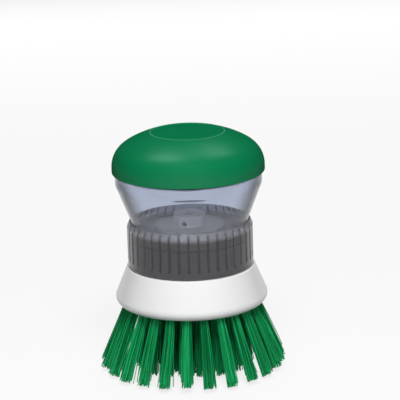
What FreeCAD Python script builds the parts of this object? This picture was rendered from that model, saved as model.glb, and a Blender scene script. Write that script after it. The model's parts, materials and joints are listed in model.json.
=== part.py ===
import FreeCAD, Part
import math
import os
import re
import Sketcher

# Soap-dispensing palm brush, in millimetres, +Z up.
# The origin is on the axis, on the plane that the bristle tips stand on.

# Driving sizes
SIZES = {
    # bristle tufts
    "underside_height": 31.8,
    "outer_tufts": 24,
    "ring_inset": 0.5,
    "outer_lean": 21.75,
    "inner_tufts": 18,
    "inner_ring_shift": 0.75,
    "inner_lean": 9.5,
    "centre_tufts": 14,
    "centre_ring_clearance": 4.5,
    "centre_lean": 5.7,
    "tuft_tip_radius": 2.7,
    "tuft_fit": 0.3,
    "tuft_seat_depth": 7.2,
    # tuft holes and the staples at their bottom
    "hole_radius": 2.1,
    "hole_depth": 9.0,
    "hole_run_out": 2.0,
    "staple_thickness": 0.5,
    "staple_clearance": 0.3,
    # brush block
    "block_floor": 11.2,
    "block_ledge": 0.5,
    "block_flare": 0.42,
    "foot_round": 3.6,
    "rim_round": 0.6,
    "socket_depth": 6.5,
    # shared fits
    "contact_gap": 0.1,
    "bond_gap": 0.05,
    "seat_gap": 0.2,
    "thread_clearance": 0.3,
    "seal_wire": 0.6,
    "seal_gap": 0.1,
    # coupling collar
    "collar_radius": 29.0,
    "collar_height": 21.3,
    "collar_wall": 3.0,
    "collar_edge": 0.8,
    "bevel_height": 2.6,
    "bevel_land": 0.35,
    "spigot_step": 1.7,
    "neck_cover": 1.55,
    "neck_insert": 3.5,
    "grip_grooves": 40,
    "groove_radius": 0.8,
    "groove_bite": 0.5,
    "plain_band": 3.4,
    # gasket under the collar's spigot
    "gasket_thickness": 0.9,
    "gasket_clearance": 0.3,
    # clear bowl
    "bowl_standoff": 1.0,
    "bowl_taper_height": 16.5,
    "bowl_lip_height": 6.1,
    "bowl_radius": 33.8,
    "bowl_wall": 1.5,
    "bowl_round": 2.0,
    "bowl_roof": 1.6,
    "cylinder_bore": 23.0,
    "cylinder_wall": 1.5,
    "cylinder_height": 8.9,
    "ledge_thickness": 1.0,
    "ledge_width": 1.5,
    # valve deck
    "deck_clearance": 0.4,
    "deck_height": 23.5,
    "deck_plate": 1.8,
    "deck_wall": 2.2,
    "step_radius": 16.0,
    "step_height": 2.5,
    "tower_radius": 7.4,
    "tower_height": 5.0,
    "chamber_radius": 3.2,
    "chamber_depth": 14.0,
    "spring_seat": 0.7,
    "tail_radius": 4.6,
    "tail_clearance": 0.3,
    "tail_proud": 0.4,
    "seal_drop": 4.0,
    "soap_ports": 4,
    "soap_port_radius": 1.1,
    "soap_port_rise": 0.4,
    "nut_height": 2.7,
    "nut_corner_radius": 8.0,
    # outlet valve
    "poppet_stem_radius": 1.5,
    "poppet_head_radius": 4.2,
    "poppet_head_height": 1.6,
    "poppet_seal_thickness": 0.5,
    "poppet_collar_gap": 0.3,
    "poppet_collar_height": 1.5,
    "poppet_stem_rise": 0.5,
    "valve_spring_wire": 0.25,
    "valve_spring_gap": 0.2,
    "valve_spring_length": 10.0,
    "valve_spring_turns": 6,
    # pump deck
    "pump_deck_thickness": 1.6,
    "hub_radius": 7.0,
    "hub_rise": 0.8,
    "hub_drop": 2.4,
    "guide_clearance": 0.06,
    "air_ports": 6,
    "air_port_radius": 2.0,
    "air_port_inset": 2.0,
    # cap carrier, its clip, flap and spring
    "return_spring_length": 6.0,
    "return_spring_wire": 0.5,
    "return_spring_foot": 9.5,
    "return_spring_inset": 3.9,
    "return_spring_turns": 4,
    "piston_clearance": 0.3,
    "carrier_plate": 1.6,
    "carrier_skirt": 1.6,
    "carrier_skirt_wall": 2.8,
    "carrier_stem_radius": 4.0,
    "carrier_boss_radius": 6.5,
    "clip_thickness": 1.0,
    "clip_groove": 0.8,
    "clip_radius": 6.2,
    "clip_opening": 60.0,
    "stem_tip": 1.0,
    "vents": 6,
    "vent_radius": 1.0,
    "vent_inset": 1.1,
    "flap_radius": 11.0,
    "flap_thickness": 0.6,
    # press cap
    "cap_overlap": 0.6,
    "cap_overhang": 1.3,
    "cap_wall": 1.0,
    "cap_skirt": 2.5,
    "cap_shoulder_round": 12.5,
    "cap_crown_round": 60.0,
    "press_lip_radius": 17.0,
    "press_lip_width": 0.7,
    "press_recess": 0.46,
    "cap_socket_wall": 2.0,
    "cap_socket_depth": 4.8,
}

# Levels, radii and lengths that follow from the driving sizes
LEVELS = {
    # bristle tufts
    "outer_ring_radius": "block_rim_radius - ring_inset",
    "centre_ring_radius": "nut_corner_radius + centre_ring_clearance",
    "inner_ring_radius": "(outer_ring_radius + centre_ring_radius) / 2 - inner_ring_shift",
    "tuft_inner_radius": "hole_radius - tuft_fit",
    "outer_tuft_reach": "(underside_height - tuft_tip_radius * sin(outer_lean)) / cos(outer_lean)",
    "outer_tip_radius": "outer_ring_radius + outer_tuft_reach * sin(outer_lean)",
    "outer_tip_height": "tuft_tip_radius * sin(outer_lean)",
    "inner_tuft_reach": "(underside_height - tuft_tip_radius * sin(inner_lean)) / cos(inner_lean)",
    "inner_tip_radius": "inner_ring_radius + inner_tuft_reach * sin(inner_lean)",
    "inner_tip_height": "tuft_tip_radius * sin(inner_lean)",
    "centre_tuft_reach": "(underside_height - tuft_tip_radius * sin(centre_lean)) / cos(centre_lean)",
    "centre_tip_radius": "centre_ring_radius + centre_tuft_reach * sin(centre_lean)",
    "centre_tip_height": "tuft_tip_radius * sin(centre_lean)",
    "staple_depth": "tuft_seat_depth + contact_gap",
    "staple_height": "hole_depth - tuft_seat_depth - 2 * contact_gap",
    "staple_length": "2 * (hole_radius - staple_clearance)",
    # brush block
    "block_rim_radius": "collar_radius + block_ledge",
    "block_height": "block_floor + socket_depth",
    "block_rim": "underside_height + block_height",
    "flare_slant": "sqrt(1 + block_flare ^ 2)",
    "foot_corner": "block_rim_radius + block_flare * block_height",
    "foot_run": "foot_round * (flare_slant + block_flare)",
    "foot_flat": "foot_corner - foot_run",
    "foot_top_radius": "foot_corner - foot_run * block_flare / flare_slant",
    "foot_top": "underside_height + foot_run / flare_slant",
    "rim_run": "rim_round * (flare_slant - block_flare)",
    "rim_foot_radius": "block_rim_radius + rim_run * block_flare / flare_slant",
    "rim_foot": "block_rim - rim_run / flare_slant",
    "socket_floor": "underside_height + block_floor",
    "socket_radius": "spigot_radius + thread_clearance",
    "outlet_radius": "tail_radius + tail_clearance",
    # gasket and coupling collar
    "gasket_bottom": "socket_floor + contact_gap",
    "gasket_top": "gasket_bottom + gasket_thickness",
    "gasket_inner": "deck_radius + gasket_clearance",
    "gasket_outer": "spigot_radius - contact_gap",
    "spigot_end": "gasket_top + contact_gap",
    "spigot_radius": "collar_radius - spigot_step",
    "collar_bore": "collar_radius - collar_wall",
    "collar_bottom": "block_rim + seat_gap",
    "collar_top": "collar_bottom + collar_height",
    "neck_floor": "collar_top - neck_insert",
    "neck_socket": "collar_radius - neck_cover",
    "neck_radius": "neck_socket - bond_gap",
    "groove_circle": "collar_radius + groove_radius - groove_bite",
    "groove_foot": "collar_bottom + plain_band",
    # clear bowl
    "bowl_foot": "collar_top + bowl_standoff",
    "bowl_shoulder": "bowl_foot + bowl_taper_height",
    "bowl_top": "bowl_shoulder + bowl_lip_height",
    "bowl_inner": "bowl_radius - bowl_wall",
    "roof_underside": "bowl_top - bowl_roof",
    "ledge_top": "roof_underside + ledge_thickness",
    "ledge_radius": "cylinder_bore - ledge_width",
    "cylinder_radius": "cylinder_bore + cylinder_wall",
    "cylinder_top": "bowl_top + cylinder_height",
    # valve deck
    "deck_radius": "collar_bore - deck_clearance",
    "deck_inner": "deck_radius - deck_wall",
    "deck_top": "socket_floor + deck_height",
    "deck_underside": "deck_top - deck_plate",
    "step_top": "deck_top + step_height",
    "tower_top": "step_top + tower_height",
    "chamber_floor": "tower_top - chamber_depth",
    "channel_radius": "chamber_radius - spring_seat",
    "nut_top": "underside_height - contact_gap",
    "nut_bottom": "nut_top - nut_height",
    "tail_end": "nut_bottom - tail_proud",
    "seal_groove_half": "seal_wire + bond_gap",
    "deck_seal_height": "deck_top - seal_drop",
    "deck_seal_radius": "collar_bore - seal_gap - seal_wire",
    "deck_groove_radius": "deck_seal_radius - seal_groove_half",
    "soap_port_height": "step_top + soap_port_radius + soap_port_rise",
    # outlet valve
    "poppet_seal_top": "tail_end - contact_gap",
    "poppet_head_top": "poppet_seal_top - poppet_seal_thickness",
    "poppet_head_bottom": "poppet_head_top - poppet_head_height",
    "poppet_collar_radius": "chamber_radius - poppet_collar_gap",
    "poppet_collar_bottom": "chamber_floor + valve_spring_length",
    "poppet_collar_top": "poppet_collar_bottom + poppet_collar_height",
    "poppet_stem_top": "poppet_collar_top + poppet_stem_rise",
    "poppet_seal_inner": "poppet_stem_radius + bond_gap",
    "valve_spring_radius": "chamber_radius - valve_spring_gap - valve_spring_wire",
    # pump deck
    "pump_deck_radius": "cylinder_bore - contact_gap",
    "pump_deck_top": "ledge_top + pump_deck_thickness",
    "hub_top": "pump_deck_top + hub_rise",
    "hub_bottom": "ledge_top - hub_drop",
    "guide_bore": "carrier_stem_radius + guide_clearance",
    "air_port_circle": "ledge_radius - air_port_radius - air_port_inset",
    # cap carrier
    "carrier_radius": "cylinder_bore - piston_clearance",
    "carrier_skirt_inner": "carrier_radius - carrier_skirt_wall",
    "return_spring_head": "carrier_skirt_inner - return_spring_wire - return_spring_inset",
    "vent_circle": "carrier_boss_radius + vent_radius + vent_inset",
    "carrier_underside": "pump_deck_top + return_spring_length",
    "carrier_top": "carrier_underside + carrier_plate",
    "carrier_skirt_bottom": "carrier_underside - carrier_skirt",
    "piston_seal_height": "(carrier_top + carrier_skirt_bottom) / 2",
    "piston_seal_radius": "cylinder_bore - seal_gap - seal_wire",
    "piston_groove_radius": "piston_seal_radius - seal_groove_half",
    "clip_top": "hub_bottom - seat_gap",
    "clip_bottom": "clip_top - clip_thickness",
    "clip_seat_radius": "carrier_stem_radius - clip_groove",
    "clip_inner": "clip_seat_radius + bond_gap",
    "stem_end": "clip_bottom - stem_tip",
    "flap_inner": "carrier_stem_radius + bond_gap",
    "flap_bottom": "carrier_underside - flap_thickness",
    "boss_top": "crown_underside - bond_gap",
    # press cap
    "cap_radius": "bowl_radius + cap_overhang",
    "cap_bottom": "bowl_top - cap_overlap",
    "cap_inner": "cap_radius - cap_wall",
    "skirt_top": "cap_bottom + cap_skirt",
    "shoulder_centre": "cap_radius - cap_shoulder_round",
    "crown_offset": "cap_crown_round - cap_shoulder_round",
    "crown_drop": "sqrt(crown_offset ^ 2 - shoulder_centre ^ 2)",
    "crown_centre": "skirt_top - crown_drop",
    "crown_edge_radius": "cap_crown_round * shoulder_centre / crown_offset",
    "crown_edge": "crown_centre + cap_crown_round * crown_drop / crown_offset",
    "crown_inner_round": "cap_crown_round - cap_wall",
    "crown_inner_edge_radius": "crown_inner_round * shoulder_centre / crown_offset",
    "crown_inner_edge": "crown_centre + crown_inner_round * crown_drop / crown_offset",
    "shoulder_inner_round": "cap_shoulder_round - cap_wall",
    "press_lip": "crown_centre + sqrt(cap_crown_round ^ 2 - press_lip_radius ^ 2)",
    "press_disc": "press_lip - press_recess",
    "press_disc_radius": "press_lip_radius - press_lip_width",
    "crown_underside": "press_disc - cap_wall",
    "crown_flat_radius": "sqrt(crown_inner_round ^ 2 - (crown_underside - crown_centre) ^ 2)",
    "cap_socket_inner": "carrier_boss_radius + contact_gap",
    "cap_socket_outer": "cap_socket_inner + cap_socket_wall",
    "cap_socket_bottom": "crown_underside - cap_socket_depth",
}

TUFT_RINGS = ("outer", "inner", "centre")
# Rings whose tufts are one group of separate solids
GROUPED_RINGS = ("inner", "centre")
FULL_TURN = 360
ARCS_PER_TURN = 8

DOC = FreeCAD.newDocument("PalmBrush")
PIECES = []


def in_cells(formula, home=""):
    """Turn a formula in plain size names into one that reads the two sheets' cells."""

    def cell(found):
        name = found.group()
        sheet = "Sizes" if name in SIZES else "Levels" if name in LEVELS else ""
        return name if sheet in ("", home) else f"{sheet}.{name}"

    return re.sub(r"[a-z_]+", cell, formula)


def write_sheet(name, cells):
    """Write one sheet: a name in column A and its aliased cell in column B."""
    sheet = DOC.addObject("Spreadsheet::Sheet", name)
    for row, (alias, content) in enumerate(cells.items(), start=1):
        sheet.set(f"A{row}", alias)
        sheet.set(f"B{row}", content)
        sheet.setAlias(f"B{row}", alias)
    DOC.recompute()
    return sheet


write_sheet("Sizes", {name: str(size) for name, size in SIZES.items()})
LEVEL_SHEET = write_sheet("Levels", {name: "=" + in_cells(text, "Levels") for name, text in LEVELS.items()})


def measure(formula):
    """Work out a formula as a plain number."""
    return float(LEVEL_SHEET.evalExpression(in_cells(formula)))


def bind(item, **formulas):
    """Bind an object's properties to formulas in size names."""
    for name, formula in formulas.items():
        item.setExpression(name, in_cells(formula))


def bind_place(item, x="0", y="0", z="0", turn_axis=(0, 0, 1), turn="0"):
    """Bind an object's place, and its turn about a fixed axis, to formulas."""
    item.Placement.Rotation = FreeCAD.Rotation(FreeCAD.Vector(*turn_axis), measure(turn))
    for name, formula in (("Base.x", x), ("Base.y", y), ("Base.z", z), ("Rotation.Angle", turn)):
        item.setExpression(f"Placement.{name}", in_cells(formula))


def keep(item):
    """Count an object as a sub-part, which gets a file under its label."""
    PIECES.append(item)
    return item


def origin_feature(body, role):
    """Find one of a body's own origin planes or axes."""
    return next(feature for feature in body.Origin.OriginFeatures if feature.Role == role)


def arc_between(start, end, radius, clockwise):
    """Make the short arc from start to end, as a sketch holds it, which is anticlockwise."""
    first, last = (end, start) if clockwise else (start, end)
    chord = last - first
    rise = math.sqrt(radius**2 - (chord.Length / 2) ** 2)
    across = FreeCAD.Vector(-chord.y, chord.x, 0).normalize()
    centre = first + chord / 2 + across * rise
    angles = [math.atan2(point.y - centre.y, point.x - centre.x) for point in (first, last)]
    return Part.ArcOfCircle(Part.Circle(centre, FreeCAD.Vector(0, 0, 1), radius), *angles)


def draw_outline(sketch, outline):
    """Draw a closed outline of (radius, height) points, with its sizes bound to the sheets.

    A point with a third and fourth entry starts an arc: its radius, and whether it runs clockwise.
    """
    points = [FreeCAD.Vector(measure(corner[0]), measure(corner[1]), 0) for corner in outline]
    ends = []
    for index, corner in enumerate(outline):
        start = points[index]
        end = points[(index + 1) % len(points)]
        if len(corner) == 2:
            edge = sketch.addGeometry(Part.LineSegment(start, end))
            ends.append((edge, 1, 2))
            continue
        clockwise = corner[3] == "clockwise"
        edge = sketch.addGeometry(arc_between(start, end, measure(corner[2]), clockwise))
        ends.append((edge, 2, 1) if clockwise else (edge, 1, 2))
        bend = sketch.addConstraint(Sketcher.Constraint("Radius", edge, measure(corner[2])))
        sketch.renameConstraint(bend, f"bend_{index}")
        sketch.setExpression(f"Constraints.bend_{index}", in_cells(corner[2]))
    for index, corner in enumerate(outline):
        edge, start, _ = ends[index]
        before, _, last = ends[index - 1]
        sketch.addConstraint(Sketcher.Constraint("Coincident", before, last, edge, start))
        height = Sketcher.Constraint("DistanceY", -1, 1, edge, start, points[index].y)
        sketch.renameConstraint(sketch.addConstraint(height), f"height_{index}")
        sketch.setExpression(f"Constraints.height_{index}", in_cells(corner[1]))
        if corner[0] == "0":
            sketch.addConstraint(Sketcher.Constraint("PointOnObject", edge, start, -2))
            continue
        radius = Sketcher.Constraint("DistanceX", -1, 1, edge, start, points[index].x)
        sketch.renameConstraint(sketch.addConstraint(radius), f"radius_{index}")
        sketch.setExpression(f"Constraints.radius_{index}", in_cells(corner[0]))


def turned(label, outline, sweep=f"{FULL_TURN}"):
    """Make a body by turning a closed outline about the vertical axis."""
    body = keep(DOC.addObject("PartDesign::Body", label))
    sketch = body.newObject("Sketcher::SketchObject", f"{label}_outline")
    sketch.AttachmentSupport = [(origin_feature(body, "XZ_Plane"), "")]
    sketch.MapMode = "FlatFace"
    draw_outline(sketch, outline)
    DOC.recompute()
    turn = body.newObject("PartDesign::Revolution", f"{label}_turn")
    turn.Profile = sketch
    turn.ReferenceAxis = (sketch, ["V_Axis"])
    bind(turn, Angle=sweep)
    body.Tip = turn
    DOC.recompute()
    return body


def ring(label, inner, outer, bottom, top, sweep=f"{FULL_TURN}"):
    """Make a flat ring."""
    return turned(label, [(inner, bottom), (outer, bottom), (outer, top), (inner, top)], sweep)


def repeated(body, feature, copies):
    """Repeat a body's last feature evenly about the vertical axis."""
    DOC.recompute()
    before = feature.Shape.Volume
    pattern = body.newObject("PartDesign::PolarPattern", f"{feature.Name}_ring")
    pattern.Originals = [feature]
    pattern.Axis = (origin_feature(body, "Z_Axis"), [""])
    pattern.Angle = FULL_TURN
    bind(pattern, Occurrences=copies)
    body.Tip = pattern
    DOC.recompute()
    if math.isclose(before, body.Shape.Volume, rel_tol=1e-6):
        raise ValueError(f"{feature.Name} changes nothing when it is repeated")


def holes(body, name, copies, radius, height, **place):
    """Cut a ring of round holes into a body."""
    hole = body.newObject("PartDesign::SubtractiveCylinder", name)
    bind(hole, Radius=radius, Height=height)
    bind_place(hole, **place)
    repeated(body, hole, copies)


def o_ring(label, radius, height):
    """Make a seal ring of round section."""
    seal = keep(DOC.addObject("Part::Torus", label))
    bind(seal, Radius1=radius, Radius2="seal_wire")
    bind_place(seal, z=height)


def tangent_arcs(start, start_way, end, end_way):
    """Join two points by two arcs that keep the ways in and out and meet in line."""
    gap = end - start
    ways = start_way + end_way
    along = gap.dot(ways)
    turn = 2 * (1 - start_way.dot(end_way))
    reach = (math.sqrt(along**2 + turn * gap.dot(gap)) - along) / turn
    near = start + start_way * reach
    far = end - end_way * reach
    middle = (near + far) / 2
    way = (far - near).normalize()
    return [arc_along(start, start_way, middle), arc_along(middle, way, end)]


def arc_along(start, way, end):
    """Make the arc that leaves start along way and ends at end."""
    chord = end - start
    half = chord.Length / 2
    lean = way.getAngle(chord)
    aside = (way - chord * (way.dot(chord) / chord.dot(chord))).normalize()
    crest = start + chord / 2 + aside * (half * math.tan(lean / 2))
    return Part.Arc(start, crest, end).toShape()


def coil(label, wire, foot_radius, head_radius, foot, head, turns):
    """Wind a spring of round wire from its foot up to its head, as one unbroken tube."""
    wire_radius = measure(wire)
    low = measure(foot) + wire_radius + measure("bond_gap")
    rise = measure(head) - wire_radius - measure("bond_gap") - low
    inner = measure(foot_radius)
    spread = measure(head_radius) - inner
    count = round(measure(turns))
    sweep = 2 * math.pi * count

    def point(share):
        angle = sweep * share
        radius = inner + spread * share
        return FreeCAD.Vector(radius * math.cos(angle), radius * math.sin(angle), low + rise * share)

    def way(share):
        angle = sweep * share
        radius = inner + spread * share
        across = FreeCAD.Vector(-math.sin(angle), math.cos(angle), 0) * (radius * sweep)
        outward = FreeCAD.Vector(math.cos(angle), math.sin(angle), 0) * spread
        return (across + outward + FreeCAD.Vector(0, 0, rise)).normalize()

    steps = count * ARCS_PER_TURN // 2
    shares = [step / steps for step in range(steps + 1)]
    edges = []
    for first, last in zip(shares, shares[1:]):
        edges.extend(tangent_arcs(point(first), way(first), point(last), way(last)))
    path = Part.Wire(edges)
    section = Part.Wire(Part.Circle(point(0), way(0), wire_radius).toShape())
    spring = keep(DOC.addObject("Part::Feature", label))
    spring.Shape = path.makePipeShell([section], True, False)
    next_turn = min((point(share + 1 / count) - point(share)).Length for share in shares[: -ARCS_PER_TURN // 2])
    print(f"{label}: {next_turn - 2 * wire_radius:.2f} mm between turns")


def make_brush_block():
    """White block: rounded foot, flared wall, threaded socket, and the tuft holes in its underside."""
    block = turned(
        "brush_block",
        [
            ("outlet_radius", "underside_height"),
            ("foot_flat", "underside_height", "foot_round", "anticlockwise"),
            ("foot_top_radius", "foot_top"),
            ("rim_foot_radius", "rim_foot", "rim_round", "anticlockwise"),
            ("block_rim_radius - rim_run", "block_rim"),
            ("socket_radius", "block_rim"),
            ("socket_radius", "socket_floor"),
            ("outlet_radius", "socket_floor"),
        ],
    )
    for side in TUFT_RINGS:
        holes(
            block,
            f"{side}_tuft_hole",
            f"{side}_tufts",
            "hole_radius",
            "hole_depth + hole_run_out",
            x=f"{side}_ring_radius + hole_run_out * sin({side}_lean)",
            z=f"underside_height - hole_run_out * cos({side}_lean)",
            turn_axis=(0, 1, 0),
            turn=f"0 - {side}_lean",
        )


def make_tufts(side):
    """One ring of bristle tufts: each spreads from its hole to a tip cut square to the tuft."""
    count = round(measure(f"{side}_tufts"))
    tufts = []
    for number in range(count):
        angle = 2 * math.pi * number / count
        swing = f"({number} * {FULL_TURN} / {side}_tufts)"
        tuft = DOC.addObject("Part::Cone", f"tuft_{side}_{number + 1:02d}")
        tufts.append(tuft)
        bind(
            tuft,
            Radius1="tuft_tip_radius",
            Radius2="tuft_inner_radius",
            Height=f"{side}_tuft_reach + tuft_seat_depth",
        )
        bind_place(
            tuft,
            x=f"{side}_tip_radius * cos{swing}",
            y=f"{side}_tip_radius * sin{swing}",
            z=f"{side}_tip_height",
            turn_axis=(-math.sin(angle), math.cos(angle), 0),
            turn=f"0 - {side}_lean",
        )
    if side in GROUPED_RINGS:
        keep(DOC.addObject("Part::Compound", f"tuft_ring_{side}")).Links = tufts
    else:
        PIECES.extend(tufts)


def make_tuft_anchors():
    """One flat wire staple across the bottom of each tuft hole."""
    anchors = keep(DOC.addObject("PartDesign::Body", "tuft_anchors"))
    anchors.AllowCompound = True
    for side in TUFT_RINGS:
        staple = anchors.newObject("PartDesign::AdditiveBox", f"{side}_staple")
        bind(staple, Length="staple_thickness", Width="staple_length", Height="staple_height")
        bind_place(
            staple,
            x=f"{side}_ring_radius - staple_depth * sin({side}_lean) - staple_thickness / 2 * cos({side}_lean)",
            y="0 - staple_length / 2",
            z=f"underside_height + staple_depth * cos({side}_lean) - staple_thickness / 2 * sin({side}_lean)",
            turn_axis=(0, 1, 0),
            turn=f"0 - {side}_lean",
        )
        repeated(anchors, staple, f"{side}_tufts")


def make_coupling_collar():
    """Smoky grip ring: threaded spigot below, neck socket and bevel above, upright finger grooves outside."""
    collar = turned(
        "coupling_collar",
        [
            ("collar_bore", "spigot_end"),
            ("spigot_radius", "spigot_end"),
            ("spigot_radius", "collar_bottom"),
            ("collar_radius - collar_edge", "collar_bottom", "collar_edge", "anticlockwise"),
            ("collar_radius", "collar_bottom + collar_edge"),
            ("collar_radius", "collar_top - bevel_height"),
            ("neck_socket + bevel_land", "collar_top"),
            ("neck_socket", "collar_top"),
            ("neck_socket", "neck_floor"),
            ("collar_bore", "neck_floor"),
        ],
    )
    holes(
        collar,
        "grip_groove",
        "grip_grooves",
        "groove_radius",
        "collar_top - groove_foot + contact_gap",
        x="groove_circle",
        z="groove_foot",
    )


def make_reservoir():
    """Clear bowl: neck, tapered wall, rounded shoulder, and the pump cylinder on its roof."""
    turned(
        "reservoir",
        [
            ("collar_bore", "neck_floor"),
            ("neck_radius", "neck_floor"),
            ("neck_radius", "bowl_foot"),
            ("bowl_radius", "bowl_shoulder"),
            ("bowl_radius", "bowl_top - bowl_round", "bowl_round", "anticlockwise"),
            ("bowl_radius - bowl_round", "bowl_top"),
            ("cylinder_radius", "bowl_top"),
            ("cylinder_radius", "cylinder_top"),
            ("cylinder_bore", "cylinder_top"),
            ("cylinder_bore", "ledge_top"),
            ("ledge_radius", "ledge_top"),
            ("ledge_radius", "roof_underside"),
            ("bowl_inner", "roof_underside"),
            ("bowl_inner", "bowl_shoulder"),
            ("collar_bore", "bowl_foot"),
        ],
    )


def make_valve_deck():
    """Grey stepped plug: skirt, seal groove, valve tower with soap ports, and the outlet tail tube."""
    deck = turned(
        "valve_deck",
        [
            ("channel_radius", "tail_end"),
            ("tail_radius", "tail_end"),
            ("tail_radius", "deck_underside"),
            ("deck_inner", "deck_underside"),
            ("deck_inner", "socket_floor"),
            ("deck_radius", "socket_floor"),
            ("deck_radius", "deck_seal_height - seal_groove_half"),
            ("deck_groove_radius", "deck_seal_height - seal_groove_half"),
            ("deck_groove_radius", "deck_seal_height + seal_groove_half"),
            ("deck_radius", "deck_seal_height + seal_groove_half"),
            ("deck_radius", "deck_top"),
            ("step_radius", "deck_top"),
            ("step_radius", "step_top"),
            ("tower_radius", "step_top"),
            ("tower_radius", "tower_top"),
            ("chamber_radius", "tower_top"),
            ("chamber_radius", "chamber_floor"),
            ("channel_radius", "chamber_floor"),
        ],
    )
    holes(
        deck,
        "soap_port",
        "soap_ports",
        "soap_port_radius",
        "tower_radius + contact_gap",
        z="soap_port_height",
        turn_axis=(0, 1, 0),
        turn="90",
    )
    o_ring("plug_seal", "deck_seal_radius", "deck_seal_height")


def make_outlet_nut():
    """Hexagon nut on the tail tube, under the block."""
    blank = DOC.addObject("Part::Prism", "nut_blank")
    blank.Polygon = 6
    bind(blank, Circumradius="nut_corner_radius", Height="nut_height")
    bore = DOC.addObject("Part::Cylinder", "nut_bore")
    bind(bore, Radius="tail_radius + bond_gap", Height="nut_height")
    for solid in (blank, bore):
        bind_place(solid, z="nut_bottom")
    nut = keep(DOC.addObject("Part::Cut", "outlet_nut"))
    nut.Base = blank
    nut.Tool = bore


def make_outlet_valve():
    """Outlet valve: stem with its head and spring collar, soft washer, and closing spring."""
    turned(
        "valve_poppet",
        [
            ("0", "poppet_head_bottom"),
            ("poppet_head_radius", "poppet_head_bottom"),
            ("poppet_head_radius", "poppet_head_top"),
            ("poppet_stem_radius", "poppet_head_top"),
            ("poppet_stem_radius", "poppet_collar_bottom"),
            ("poppet_collar_radius", "poppet_collar_bottom"),
            ("poppet_collar_radius", "poppet_collar_top"),
            ("poppet_stem_radius", "poppet_collar_top"),
            ("poppet_stem_radius", "poppet_stem_top"),
            ("0", "poppet_stem_top"),
        ],
    )
    ring("poppet_seal", "poppet_seal_inner", "poppet_head_radius", "poppet_head_top", "poppet_seal_top")
    coil(
        "valve_spring",
        "valve_spring_wire",
        "valve_spring_radius",
        "valve_spring_radius",
        "chamber_floor",
        "poppet_collar_bottom",
        "valve_spring_turns",
    )


def make_pump_deck():
    """Floor of the pump cylinder: guide hub in the middle and air ports round it."""
    deck = turned(
        "pump_deck",
        [
            ("guide_bore", "hub_bottom"),
            ("hub_radius", "hub_bottom"),
            ("hub_radius", "ledge_top"),
            ("pump_deck_radius", "ledge_top"),
            ("pump_deck_radius", "pump_deck_top"),
            ("hub_radius", "pump_deck_top"),
            ("hub_radius", "hub_top"),
            ("guide_bore", "hub_top"),
        ],
    )
    holes(
        deck,
        "air_port",
        "air_ports",
        "air_port_radius",
        "pump_deck_thickness",
        x="air_port_circle",
        z="ledge_top",
    )


def make_cap_carrier():
    """Piston under the cap: guide stem with its clip groove, plate with vents, sealed skirt, boss."""
    carrier = turned(
        "cap_carrier",
        [
            ("0", "stem_end"),
            ("carrier_stem_radius", "stem_end"),
            ("carrier_stem_radius", "clip_bottom - bond_gap"),
            ("clip_seat_radius", "clip_bottom - bond_gap"),
            ("clip_seat_radius", "clip_top + bond_gap"),
            ("carrier_stem_radius", "clip_top + bond_gap"),
            ("carrier_stem_radius", "carrier_underside"),
            ("carrier_skirt_inner", "carrier_underside"),
            ("carrier_skirt_inner", "carrier_skirt_bottom"),
            ("carrier_radius", "carrier_skirt_bottom"),
            ("carrier_radius", "piston_seal_height - seal_groove_half"),
            ("piston_groove_radius", "piston_seal_height - seal_groove_half"),
            ("piston_groove_radius", "piston_seal_height + seal_groove_half"),
            ("carrier_radius", "piston_seal_height + seal_groove_half"),
            ("carrier_radius", "carrier_top"),
            ("carrier_boss_radius", "carrier_top"),
            ("carrier_boss_radius", "boss_top"),
            ("0", "boss_top"),
        ],
    )
    holes(
        carrier,
        "vent",
        "vents",
        "vent_radius",
        "carrier_plate",
        x="vent_circle",
        z="carrier_underside",
    )
    o_ring("piston_seal", "piston_seal_radius", "piston_seal_height")
    ring("stem_retainer", "clip_inner", "clip_radius", "clip_bottom", "clip_top", f"{FULL_TURN} - clip_opening")
    ring("air_inlet_flap", "flap_inner", "flap_radius", "flap_bottom", "carrier_underside")
    coil(
        "return_spring",
        "return_spring_wire",
        "return_spring_foot",
        "return_spring_head",
        "pump_deck_top",
        "carrier_underside",
        "return_spring_turns",
    )


def make_press_cap():
    """Green domed cap: short skirt, round shoulder, low crown with a sunk press disc, socket inside."""
    turned(
        "press_cap",
        [
            ("cap_inner", "cap_bottom"),
            ("cap_radius", "cap_bottom"),
            ("cap_radius", "skirt_top", "cap_shoulder_round", "anticlockwise"),
            ("crown_edge_radius", "crown_edge", "cap_crown_round", "anticlockwise"),
            ("press_lip_radius", "press_lip"),
            ("press_disc_radius", "press_disc"),
            ("0", "press_disc"),
            ("0", "crown_underside"),
            ("cap_socket_inner", "crown_underside"),
            ("cap_socket_inner", "cap_socket_bottom"),
            ("cap_socket_outer", "cap_socket_bottom"),
            ("cap_socket_outer", "crown_underside"),
            ("crown_flat_radius", "crown_underside", "crown_inner_round", "clockwise"),
            ("crown_inner_edge_radius", "crown_inner_edge", "shoulder_inner_round", "clockwise"),
            ("cap_inner", "skirt_top"),
        ],
    )


def write_pieces():
    """Check every object, then write each sub-part to its own file."""
    DOC.recompute()
    for item in DOC.Objects:
        if {"Invalid", "Error"} & set(item.State):
            raise ValueError(f"{item.Label} failed: {item.State}")
    for piece in PIECES:
        if piece.Shape.isNull() or not piece.Shape.isValid():
            raise ValueError(f"{piece.Label} has no valid shape")
    os.makedirs("parts", exist_ok=True)
    for piece in PIECES:
        piece.Shape.exportStep(f"parts/{piece.Label}.step")
    print(f"{len(PIECES)} sub-parts written")


make_brush_block()
for side in TUFT_RINGS:
    make_tufts(side)
make_tuft_anchors()
make_coupling_collar()
ring("neck_gasket", "gasket_inner", "gasket_outer", "gasket_bottom", "gasket_top")
make_reservoir()
make_valve_deck()
make_outlet_nut()
make_outlet_valve()
make_pump_deck()
make_cap_carrier()
make_press_cap()
write_pieces()
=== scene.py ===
import json
import math

import bmesh
import bpy
from mathutils import Matrix, Vector

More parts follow.
